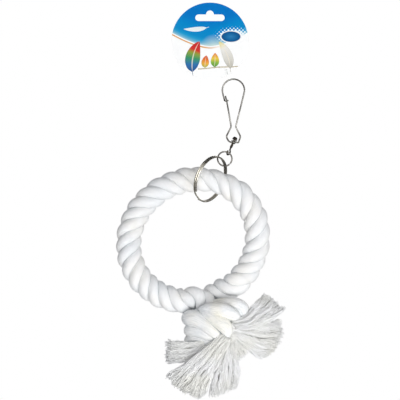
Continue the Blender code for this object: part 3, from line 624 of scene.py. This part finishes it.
def lock_of_yarn(rows, along, bulge):
    """Splines of one lock at a random place between two edges: its core, and the yarns that wind round it."""
    t = along / along[-1]
    one, other, half = rows[:, :3], rows[:, 3:6], rows[:, 6]
    end = (one + other)[-1] - (one + other)[-2]
    end /= np.linalg.norm(end)
    edge = (other - one) / np.linalg.norm(other - one, axis=1)[:, None]
    side, lift = yarn_random.uniform(-0.97, 0.97, 2)
    # Towards its side edges an end gets flatter, and its middle locks reach furthest.
    lift *= math.sqrt(1 - 0.7 * side * side)
    share = (side + 1) / 2
    sway = yarn_random.normal(0.0, LOCK_SWAY, 2) * MM
    phase = yarn_random.uniform(0, 2 * math.pi, 2)
    reach = bulge * MM * (1 - side * side) + yarn_random.normal(0.0, LOCK_UNEVEN) * MM
    spin = 2 * math.pi * along / LOCK_TWIST * yarn_random.uniform(0.5, 1.3)
    girth = LOCK_RADIUS * yarn_random.uniform(0.75, 1.25) * (0.5 + 0.6 * t)
    aside = t * sway[0] * np.sin(phase[0] + 2 * math.pi * along / SWAY_ACROSS)
    lifted = t * sway[1] * np.sin(phase[1] + 2 * math.pi * along / SWAY_DEEP) + lift * half
    middle = one * (1 - share) + other * share + aside[:, None] * edge + lifted[:, None] * AWAY
    # The core stops short and closes to a point, so that only yarns show at the cut.
    core = middle + (reach - CORE_SHORTER) * (t**3)[:, None] * end
    splines = [[(spot, wide, 0.0) for spot, wide in zip(core, girth * (1 - t**8))]]
    for turn in np.linspace(0, 2 * math.pi, YARNS_IN_LOCK, endpoint=False):
        around = spin + turn + yarn_random.normal(0.0, 0.2)
        wave = yarn_random.uniform(0, 2 * math.pi) + 2 * math.pi * along / (yarn_random.uniform(10, 18) * MM)
        out = girth + yarn_random.normal(0.0, YARN_WAVER) * MM * np.sin(wave)
        yarn = middle + (out * np.cos(around))[:, None] * edge + (out * np.sin(around))[:, None] * AWAY
        yarn += (reach + yarn_random.normal(0.0, YARN_UNEVEN) * MM) * (t**3)[:, None] * end
        splines.append([(spot, YARN_RADIUS * (1 - 0.2 * step), 0.0) for spot, step in zip(yarn, t)])
    return splines


print("a lock has", YARNS_IN_LOCK, "yarns round its core")

# %% Places of the frayed ends
# Each station holds the places of both edges in the picture, the depth and half the thickness in millimetres. Then
# come the number of locks and how far the middle ones run on.
TASSELS = {
    "right_tassel_upper": ((
        (231, 320, 236, 329, -25, 5), (244, 316.5, 251, 328, -25, 6), (253.5, 306, 267, 322, -21, 6),
        (263.5, 295.5, 283, 309, -16, 5),
    ), 42, 0.0),
    "right_tassel_middle": ((
        (231, 323, 229, 340, -26, 5), (247, 322, 243, 346, -20, 8), (263, 322, 255, 354, -14, 8),
        (278, 322, 267.5, 354.5, -10, 7),
    ), 62, 7.0),
    "right_tassel_lower": ((
        (234, 335, 228, 339, -25, 3), (240, 344, 230, 349, -28, 4), (246, 352, 235, 360, -28, 4),
    ), 22, 0.5),
    "lower_tassel_left": ((
        (214, 338, 216, 346, -19, 4), (198, 343, 200, 354, -21, 6), (183, 343, 184, 361, -20, 6),
        (168, 342.5, 168, 362, -18, 5),
    ), 46, 0.0),
    "lower_tassel_middle": ((
        (222, 334, 231, 339, -28, 4), (206, 348, 222, 357, -33, 5), (187, 363, 211, 379, -33, 5),
        (168.5, 375, 203, 397, -31, 4),
    ), 36, 5.0),
    "lower_tassel_middle_back": ((
        (222, 334, 231, 339, -26, 4), (206, 348, 222, 357, -28, 5), (187, 363, 211, 379, -28, 5),
        (168.5, 375, 203, 397, -26, 4),
    ), 36, 5.0),
    "lower_tassel_right": ((
        (225, 338, 232, 340, -24, 4), (221, 358, 236, 357, -25, 7), (214, 377, 239, 373, -24, 7),
        (211, 394, 236.5, 385, -22, 6),
    ), 54, 2.5),
}
print(sum(locks for _, locks, _ in TASSELS.values()), "locks of yarn")

# %% Frayed ends
YARN_STEP = 2.5 * MM

for name, (stations, locks, bulge) in TASSELS.items():
    edges = [(*seen_at(ax, ay, deep), *seen_at(bx, by, deep), thick * MM) for ax, ay, bx, by, deep, thick in stations]
    rows, along = flowing(edges, YARN_STEP)
    splines = [spline for _ in range(locks) for spline in lock_of_yarn(rows, along, bulge)]
    bundle = add_curve(name + "_yarn", splines, bevel_depth=1.0, bevel_resolution=1)
    carried(to_mesh(bundle, fray), "rope", "frayed_cotton", *{name}.intersection(frame["nodes"]))

# %% [markdown]
# ## Nickel wire
#
# Hook, gate, swivel and rings are spring wire with a bright nickel plate. In the model their wires have flat sides,
# so each one is copied, merged, turned back into four-sided faces and subdivided. Subdividing draws a tube in, and
# the fatten step lets it out to its gauge again. Creased edges keep the cut ends of the wires flat. Nickel is a little
# yellow next to chromium, and handling dulls it unevenly, so its roughness varies in soft patches. Its colour also goes
# from light to dark in soft patches, and that is painted reflection: the light and dark stretches that bright wire
# mirrors from what stands around it.

# %% Nickel
def nickel(name, light, dark, roughness, patch, seed):
    """Plated wire with soft patches in colour and roughness, of a size in millimetres and in a seeded place."""
    material, tree, shader = new_material(name, Metallic=1.0)
    place = add_node(tree, "TexCoord", {}, "Object")
    patches = add_node(
        tree, "TexNoise", {"Vector": place, "W": seed, "Scale": 1 / (patch * MM), "Detail": 3.0, "Roughness": 0.6},
        noise_dimensions="4D",
    )
    # Painted reflection: the noise moves the colour between a light and a dark plate, as if the wire mirrored light and
    # dark surroundings.
    tint = add_node(tree, "ValToRGB", {"Fac": patches}, stops=((0.35, dark), (0.65, light)))
    tree.links.new(tint, shader.inputs["Base Color"])
    rough = add_node(tree, "MapRange", {"Value": patches, "To Min": roughness * 1.4, "To Max": roughness * 0.7})
    tree.links.new(rough, shader.inputs["Roughness"])
    return material


# Bright plate on drawn wire gives the hook sharp, cool highlights. Its colour adds painted reflection: light patches
# and dark stretches between them.
hook_plate = nickel("bright_nickel", "A3A19B", "4E4C48", 0.2, 12, 4.6)
# The swivel's plate is darker and a little yellow.
swivel_plate = nickel("warm_nickel", "615A4E", "2A2723", 0.24, 8, 3.1)
# The bead is dull and nearly black.
bead_plate = nickel("dull_nickel", "3A3630", "1A1816", 0.32, 8, 11.7)
# The link is cut from bright wire. The grey between its highlights is painted reflection: dark patches in its colour.
link_plate = nickel("link_nickel", "8A8782", "34322F", 0.2, 12, 10.2)
# The split ring is flattened spring steel. Its colour goes from nearly white to nearly black in long patches, which is
# painted reflection: painted highlights and dark stretches on its broad faces.
split_plate = nickel("split_ring_nickel", "EEE9DC", "3A3732", 0.2, 24, 0.6)
print("metals:", hook_plate.name, swivel_plate.name, bead_plate.name, link_plate.name, split_plate.name)

# %% Rounded wires
SHARP_EDGE = math.radians(60)
SMOOTH_EDGE = math.radians(45)


def add_rounded(node, body, slot, material, fatten):
    """Smooth copy of one of the model's pieces, let out by so many millimetres after subdividing."""
    mesh = frame["nodes"][node].data.copy()
    piece = bpy.data.objects.new(node + "_round", mesh)
    bpy.context.scene.collection.objects.link(piece)
    edit(piece)
    bpy.ops.mesh.remove_doubles(threshold=0.01 * MM)
    bpy.ops.mesh.tris_convert_to_quads()
    bpy.ops.mesh.select_all(action="DESELECT")
    bpy.ops.mesh.edges_select_sharp(sharpness=SHARP_EDGE)
    bpy.ops.transform.edge_crease(value=0.9)
    bpy.ops.object.mode_set(mode="OBJECT")
    rounding = piece.modifiers.new("rounding", "SUBSURF")
    rounding.levels = rounding.render_levels = 2
    bpy.ops.object.modifier_apply(modifier="rounding")
    edit(piece)
    bpy.ops.transform.shrink_fatten(value=fatten * MM)
    bpy.ops.object.mode_set(mode="OBJECT")
    mesh.materials.clear()
    mesh.materials.append(material)
    bpy.ops.object.shade_smooth_by_angle(angle=SMOOTH_EDGE)
    return carried(piece, body, slot, node)


add_rounded("hook_wire", "hook", "hook_nickel", hook_plate, 0.08)
gate = add_rounded("hook_gate", "gate", "gate_nickel", hook_plate, 0.08)

# %% [markdown]
# On the real hook the gate is the springy end of the same wire and bends just above the neck. In the model it turns
# on a hinge there. A short round piece of wire on the hook covers that hinge, and the gate's foot is drawn up into it,
# so that no cut end shows when the gate opens.

# %% Flexing wire at the gate's foot
GATE_HINGE = -44.04 * MM
FOOT_HEIGHT, FOOT_LIFT = 0.6 * MM, 0.3 * MM
FLEX_RADIUS, FLEX_LENGTH, FLEX_EDGE = 0.82 * MM, 3.2 * MM, 0.3 * MM
FLEX_ACROSS, FLEX_LEAN = -2.7 * MM, -0.171

edit(gate, lambda place: place.z < GATE_HINGE + FOOT_HEIGHT)
bpy.ops.transform.translate(value=(0.0, 0.0, FOOT_LIFT))
bpy.ops.object.mode_set(mode="OBJECT")

bpy.ops.object.select_all(action="DESELECT")
bpy.ops.mesh.primitive_cylinder_add(
    vertices=24, radius=FLEX_RADIUS, depth=FLEX_LENGTH,
    location=(FLEX_ACROSS, 0.0, GATE_HINGE), rotation=(0.0, FLEX_LEAN, 0.0),
)
flex = bpy.context.object
flex.name = "gate_flex"
bpy.ops.object.transform_apply()
edit(flex)
bpy.ops.mesh.select_all(action="DESELECT")
bpy.ops.mesh.edges_select_sharp(sharpness=SHARP_EDGE)
bpy.ops.mesh.bevel(offset=FLEX_EDGE, segments=3, affect="EDGES")
bpy.ops.object.mode_set(mode="OBJECT")
flex.data.materials.append(hook_plate)
bpy.ops.object.shade_smooth_by_angle(angle=SMOOTH_EDGE)
carried(flex, "hook", "hook_nickel")

# %% [markdown]
# The swivel's post shows thicker just below the hook, as wire does where it is upset into a short barrel. Only the
# vertices on that stretch are let out.

# %% Swivel
SPIN_POINT = np.array((0.0, 0.0, -62.2)) * MM
SPIN_AXIS = np.array((-0.42262, 0.0, -0.90631))
BARREL_FROM, BARREL_TO, BARREL_SWELL = 2.5 * MM, 6.0 * MM, 0.5 * MM


def on_barrel(place):
    """Whether a point of the post lies on the thicker stretch below the hook."""
    return BARREL_FROM < float((np.array(place) - SPIN_POINT) @ SPIN_AXIS) < BARREL_TO


add_rounded("swivel_bead", "swivel", "bead_nickel", bead_plate, 0.12)
post = add_rounded("swivel_post", "swivel", "swivel_nickel", swivel_plate, 0.14)
edit(post, on_barrel)
bpy.ops.transform.shrink_fatten(value=BARREL_SWELL)
bpy.ops.object.mode_set(mode="OBJECT")

# %% [markdown]
# The link ring is a jump ring, and the split ring is a flat coil of two turns, as on a bunch of keys. The model holds
# their gaps and turns already, so both are only rounded.

# %% Rings
add_rounded("link_ring", "link", "link_nickel", link_plate, 0.08)
add_rounded("split_ring", "split", "split_ring_nickel", split_plate, 0.2)

# %% [markdown]
# ## Clear tie
#
# A loop of clear nylon joins the card to the hook. It is rounded in the same way as the wires. Nylon thread is pressed
# through a die and drawn out, so it is smooth, lets most light through and has a soft gloss.

# %% Clear tie
RIPPLE_SIZE = 1.2 * MM

# Drawn nylon shows as a faint grey outline with small soft highlights, which its slight ripple breaks up.
nylon, tree, shader = new_material(
    "clear_nylon", Base_Color=linear("F5F7F6"), Roughness=0.22, IOR=1.53, Transmission_Weight=0.85
)
place = add_node(tree, "TexCoord", {}, "Object")
ripple = add_node(tree, "TexNoise", {"Vector": place, "Scale": 1 / RIPPLE_SIZE, "Detail": 2.0})
bump = add_node(tree, "Bump", {"Height": ripple, "Strength": 0.2, "Distance": 0.05 * MM})
tree.links.new(bump, shader.inputs["Normal"])
add_rounded("card_tie", "card", "clear_nylon", nylon, 0.06)

# %% [markdown]
# ## Printed card
#
# The card is coated board, printed blue above a swung edge and left white below it, with a thin orange line that
# runs out under the blue. A halftone screen lightens the blue on the right: white dots that grow until they meet.
# A plain oval with a pale rim stands on these dots and reaches over the edge. The board's edge and its back stay
# white. All of it is worked out from the place on the card, in millimetres from the card's centre, so that the print
# lies exactly on the model's own card.

# %% Blue field and its swung edge
CARD_HALF = 37.0
SWING_POWER, SWING_RISE, SWING_LOW = 1.6, 13.0, -5.0
EDGE_BLUR = 0.15
BLUE_HEIGHT = 26.0

card_low, card_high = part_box("header_card")
card_centre = (card_low + card_high) / 2
# Offset ink under a thin coat gives clear, even colours with hardly any shine.
print_card, tree, shader = new_material("coated_card_print", Roughness=0.55, Specular_IOR_Level=0.05)
place = add_node(tree, "TexCoord", {}, "Object")
on_card = add_node(
    tree, "Mapping", {"Vector": place, "Location": tuple(-card_centre / MM), "Scale": (1 / MM, 1 / MM, 1 / MM)}
)
across, through, up = (add_node(tree, "SeparateXYZ", {0: on_card}, axis) for axis in "XYZ")
folded = add_node(tree, "Math", {0: across, 1: CARD_HALF}, operation="DIVIDE")
folded = add_node(tree, "Math", {0: folded}, operation="ABSOLUTE")
swung = add_node(tree, "Math", {0: folded, 1: SWING_POWER}, operation="POWER")
edge = add_node(tree, "Math", {0: swung, 1: SWING_RISE, 2: SWING_LOW}, operation="MULTIPLY_ADD")
above_edge = add_node(tree, "Math", {0: up, 1: edge}, operation="SUBTRACT")
in_blue = add_node(tree, "MapRange", {"Value": above_edge, "From Min": -EDGE_BLUR, "From Max": EDGE_BLUR})
height = add_node(tree, "MapRange", {"Value": above_edge, "From Max": BLUE_HEIGHT})
blue = add_node(tree, "ValToRGB", {"Fac": height}, stops=(
    (0.0, "A5CEDA"), (0.08, "5FACD0"), (0.18, "1F99CC"), (0.3, "0888C6"), (0.6, "0086C8"), (1.0, "0073C2"),
))
print("card centre in mm:", [round(v / MM, 1) for v in card_centre])

# %% Halftone glow
# A real screen is finer than the picture can show, so its dots are drawn larger.
DOT_PITCH = 2.6
SCREEN_ANGLE = math.radians(45)
GLOW_CENTRE, GLOW_HALF = (24, 5), (22, 11)
HAZE_CENTRE = (4.0, -8.0, 0.0)
HAZE_FROM, HAZE_TO = 2.0, 15.0

flat = add_node(tree, "CombineXYZ", {0: across, 1: up})
turned = add_node(tree, "Mapping", {
    "Vector": flat, "Scale": (1 / DOT_PITCH, 1 / DOT_PITCH, 1.0), "Rotation": (0.0, 0.0, SCREEN_ANGLE),
})
from_dot = add_node(
    tree, "TexVoronoi", {"Vector": turned, "Scale": 1.0, "Randomness": 0.0}, "Distance", voronoi_dimensions="2D"
)
glow_oval = add_node(tree, "Mapping", {
    "Vector": flat, "Scale": (1 / GLOW_HALF[0], 1 / GLOW_HALF[1], 1.0),
    "Location": (-GLOW_CENTRE[0] / GLOW_HALF[0], -GLOW_CENTRE[1] / GLOW_HALF[1], 0.0),
})
from_glow = add_node(tree, "VectorMath", {0: glow_oval}, "Value", operation="LENGTH")
dot_size = add_node(
    tree, "MapRange", {"Value": from_glow, "From Min": 0.3, "From Max": 1.0, "To Min": 0.75, "To Max": 0.0}
)
inside = add_node(tree, "Math", {0: dot_size, 1: from_dot}, operation="SUBTRACT")
in_dot = add_node(tree, "MapRange", {"Value": inside, "From Max": 0.12})
from_haze = add_node(tree, "VectorMath", {0: flat, 1: HAZE_CENTRE}, "Value", operation="DISTANCE")
haze = add_node(
    tree, "MapRange", {"Value": from_haze, "From Min": HAZE_FROM, "From Max": HAZE_TO, "To Min": 0.7, "To Max": 0.0}
)
hazy = add_node(tree, "Mix", {0: haze, 6: blue, 7: linear("DCE8DC")}, 2, data_type="RGBA")
sky = add_node(tree, "Mix", {0: in_dot, 6: hazy, 7: linear("EAF6FB")}, 2, data_type="RGBA")
print("halftone dots", DOT_PITCH, "mm apart")

# %% Plain oval with a pale rim
OVAL_CENTRE = (21.0, 4.4, 0.0)
OVAL_HALF = (9.6, 5.3)
OVAL_RIM, RIM_BLUR = 1.14, 0.02

off_oval = add_node(tree, "VectorMath", {0: flat, 1: OVAL_CENTRE}, operation="SUBTRACT")
squeezed = add_node(
    tree, "VectorMath", {0: off_oval, 1: (1 / OVAL_HALF[0], 1 / OVAL_HALF[1], 0.0)}, operation="MULTIPLY"
)
from_oval = add_node(tree, "VectorMath", {0: squeezed}, "Value", operation="LENGTH")
outwards = add_node(tree, "MapRange", {"Value": from_oval, "From Max": OVAL_RIM})
oval_ink = add_node(tree, "ValToRGB", {"Fac": outwards}, stops=(
    (0.0, "2A7AB0"), (0.5, "16639C"), (0.84, "0A4F86"), (0.9, "F2F5F6"),
))
in_oval = add_node(
    tree, "MapRange", {"Value": from_oval, "From Min": OVAL_RIM + RIM_BLUR, "From Max": OVAL_RIM - RIM_BLUR}
)
print("oval of", 2 * OVAL_HALF[0], "by", 2 * OVAL_HALF[1], "mm")

# %% Orange line, paper and the finished print
LINE_BELOW, LINE_OUTSIDE, LINE_INSIDE = 1.9, 0.85, 0.5
LINE_FADE_FROM, LINE_FADE_TO = -6.0, 14.0
PAPER_GRAIN = 0.6 * MM
JUST_BEHIND_FRONT = -0.28

off_line = add_node(tree, "Math", {0: above_edge, 1: LINE_BELOW}, operation="ADD")
off_line = add_node(tree, "Math", {0: off_line}, operation="ABSOLUTE")
on_line = add_node(tree, "MapRange", {"Value": off_line, "From Min": LINE_OUTSIDE, "From Max": LINE_INSIDE})
line_left = add_node(tree, "MapRange", {
    "Value": across, "From Min": LINE_FADE_FROM, "From Max": LINE_FADE_TO, "To Min": 1.0, "To Max": 0.0,
})
in_line = add_node(tree, "Math", {0: on_line, 1: line_left}, operation="MULTIPLY")
grain = add_node(tree, "TexNoise", {"Vector": place, "Scale": 1 / PAPER_GRAIN, "Detail": 2.0})
paper = add_node(tree, "Mix", {0: grain, 6: linear("F8F8F7"), 7: linear("FEFEFE")}, 2, data_type="RGBA")
lined = add_node(tree, "Mix", {0: in_line, 6: paper, 7: linear("D89C5C")}, 2, data_type="RGBA")
inked = add_node(tree, "Mix", {0: in_blue, 6: lined, 7: sky}, 2, data_type="RGBA")
stamped = add_node(tree, "Mix", {0: in_oval, 6: inked, 7: oval_ink}, 2, data_type="RGBA")
on_front = add_node(tree, "Math", {0: through, 1: JUST_BEHIND_FRONT}, operation="LESS_THAN")
printed = add_node(tree, "Mix", {0: on_front, 6: paper, 7: stamped}, 2, data_type="RGBA")
tree.links.new(printed, shader.inputs["Base Color"])
bump = add_node(tree, "Bump", {"Height": grain, "Strength": 0.12, "Distance": 0.05 * MM})
tree.links.new(bump, shader.inputs["Normal"])
card = frame["nodes"]["header_card"]
card.data.materials.clear()
card.data.materials.append(print_card)
print("card carries", print_card.name)

# %% [markdown]
# ## Feathers on the card
#
# The picture on the card is a plain motif of five feathers and a perch. Each feather is a thin lens swept along its
# shaft, and the sweep's radius draws the outline: a bare quill, then a vane that swells and closes to a tip. Its map
# runs along the shaft in U, which carries the change of colour, and across the vane in V, which places the shaft.
# Slanting lines are the barbs.

# %% Feather ink
FEATHER_LENGTH = 35
# Real barbs are finer than the picture can show, so they are drawn wider.
BARB_PITCH = 1.571
BARB_SLANT = -0.6
SHAFT_HALF, SHAFT_BLUR = 0.006, 0.01


def feather_ink(name, *stops):
    """Ink that changes along the feather, with a pale shaft and slanting barbs."""
    # Printed ink lies flat on the board, so it shows clear colour and next to no shine.
    material, tree, shader = new_material(name, Roughness=0.55, Specular_IOR_Level=0.15)
    uv = add_node(tree, "TexCoord", {}, "UV")
    along, across = (add_node(tree, "SeparateXYZ", {0: uv}, axis) for axis in "XY")
    folded = add_node(tree, "Math", {0: across, 1: 0.5}, operation="SUBTRACT")
    folded = add_node(tree, "Math", {0: folded}, operation="ABSOLUTE")
    off_shaft = add_node(tree, "Math", {0: folded, 1: 0.25}, operation="SUBTRACT")
    off_shaft = add_node(tree, "Math", {0: off_shaft}, operation="ABSOLUTE")
    slanted = add_node(tree, "Math", {0: off_shaft, 1: BARB_SLANT, 2: along}, operation="MULTIPLY_ADD")
    barbs = add_node(tree, "TexWave", {
        "Vector": add_node(tree, "CombineXYZ", {0: slanted}), "Scale": WAVE_PERIOD * FEATHER_LENGTH / BARB_PITCH,
        "Distortion": 0.6, "Detail Scale": 3.0,
    }, "Fac")
    shade = add_node(tree, "MapRange", {"Value": barbs, "To Max": 0.25})
    tone = add_node(tree, "ValToRGB", {"Fac": along}, stops=stops)
    vane = add_node(tree, "Mix", {0: shade, 6: tone, 7: linear("9A9A9A")}, 2, data_type="RGBA", blend_type="MULTIPLY")
    on_shaft = add_node(tree, "MapRange", {
        "Value": off_shaft, "From Min": SHAFT_HALF + SHAFT_BLUR, "From Max": SHAFT_HALF, "To Max": 0.8,
    })
    drawn = add_node(tree, "Mix", {0: on_shaft, 6: vane, 7: linear("EFE6D2")}, 2, data_type="RGBA")
    tree.links.new(drawn, shader.inputs["Base Color"])
    return material


print("barbs drawn", BARB_PITCH, "mm apart")

# %% Printed shapes
LENS_POINTS, LENS_HEIGHT = 16, 0.02

lens = [
    (math.cos(a), LENS_HEIGHT * math.sin(a), 0.0) for a in np.linspace(0, 2 * math.pi, LENS_POINTS, endpoint=False)
]
lens_curve = add_curve("feather_lens", [[(p, 1.0, 0.0) for p in lens]], cyclic=True, dimensions="2D")
print("lens of", len(lens), "points")


def add_print(name, rows, material):
    """Thin printed shape swept along rows of a place on the card and a half width, all in millimetres."""
    points = [((x * MM, z * MM, 0.0), half * MM, 0.0) for x, z, half in rows]
    shape = add_curve(name, [points], dimensions="2D", bevel_mode="OBJECT", bevel_object=lens_curve)
    shape.location = (card_centre[0], card_low[1], card_centre[2])
    shape.rotation_euler = (math.pi / 2, 0, 0)
    piece = to_mesh(shape, material)
    bpy.ops.object.transform_apply()
    return carried(piece, "card", "printed_card")


# %% Feathers
QUILL_SHARE, QUILL_HALF = 0.12, 0.25
# Each feather has its quill's end, its tip, its bow to the left and half its width in millimetres, and then its ink.
FEATHERS = {
    "feather_large": ((-17, -34.5), (-10.5, -0.5), 3.5, 7.4, "red_green_blue_ink", (
        (0.0, "22406E"), (0.3, "2C6FB0"), (0.5, "3F9A62"), (0.64, "8FA43C"), (0.74, "D8322C"), (1.0, "C9252B"),
    )),
    "feather_orange": ((-5, -28), (-3.5, -14.5), 0.5, 3.8, "orange_ink", (
        (0.0, "7FB04A"), (0.4, "F0B446"), (0.7, "EC7A36"), (1.0, "DC4F2C"),
    )),
    "feather_green": ((4, -27.5), (5, -12), -0.5, 4.2, "green_ink", (
        (0.0, "3F8E46"), (0.4, "8DBB45"), (0.65, "F2CF4A"), (1.0, "E8702F"),
    )),
    "feather_pale": ((20.5, -31), (9, -0.5), -3.0, 5.0, "pale_ink", (
        (0.0, "A9A59A"), (0.35, "DCD9D0"), (0.75, "F3F1EB"), (1.0, "F3E27C"),
    )),
    "feather_white": ((-1, 14), (-26, 12), 1.2, 2.4, "white_ink", ((0.0, "E4F2FA"), (1.0, "F7FBFD"))),
}


def feather_rows(root, tip, bow, half):
    """Places and half widths along a feather's shaft, from the end of its quill to its tip."""
    root, tip = np.array(root, dtype=float), np.array(tip, dtype=float)
    run = tip - root
    left = np.array((-run[1], run[0])) / np.linalg.norm(run)
    rows = []
    for t in np.linspace(0.0, 1.0, 31):
        x, z = root + run * t + left * bow * 4 * t * (1 - t)
        vane = max(0.0, (t - QUILL_SHARE) / (1 - QUILL_SHARE))
        rows.append((x, z, max(QUILL_HALF, half * math.sin(math.pi * vane**0.75) ** 0.7)))
    return rows


for name, (root, tip, bow, half, ink, stops) in FEATHERS.items():
    add_print(name, feather_rows(root, tip, bow, half), feather_ink(ink, *stops))

# %% Perch
PERCH_LEFT, PERCH_RIGHT = -12, 29
PERCH_LEVEL, PERCH_RISE, PERCH_WAVE = -27.6, 0.065, 0.3
PERCH_HALF = 0.55
BARK_SIZE = 1.5 * MM

# The perch is printed in two browns that run into each other like bark, with the same low shine as the feathers.
perch_ink, tree, shader = new_material("perch_ink", Roughness=0.6, Specular_IOR_Level=0.15)
place = add_node(tree, "TexCoord", {}, "Object")
bark = add_node(tree, "TexNoise", {"Vector": place, "Scale": 1 / BARK_SIZE, "Detail": 3.0})
tone = add_node(tree, "ValToRGB", {"Fac": bark}, stops=((0.3, "A89A7C"), (0.7, "D6CCB4")))
tree.links.new(tone, shader.inputs["Base Color"])
perch_rows = [
    (x, PERCH_LEVEL + PERCH_RISE * (x + 10) + PERCH_WAVE * math.sin(x / 5), PERCH_HALF)
    for x in range(PERCH_LEFT, PERCH_RIGHT)
]
add_print("perch_line", perch_rows, perch_ink)
bpy.data.objects.remove(lens_curve)
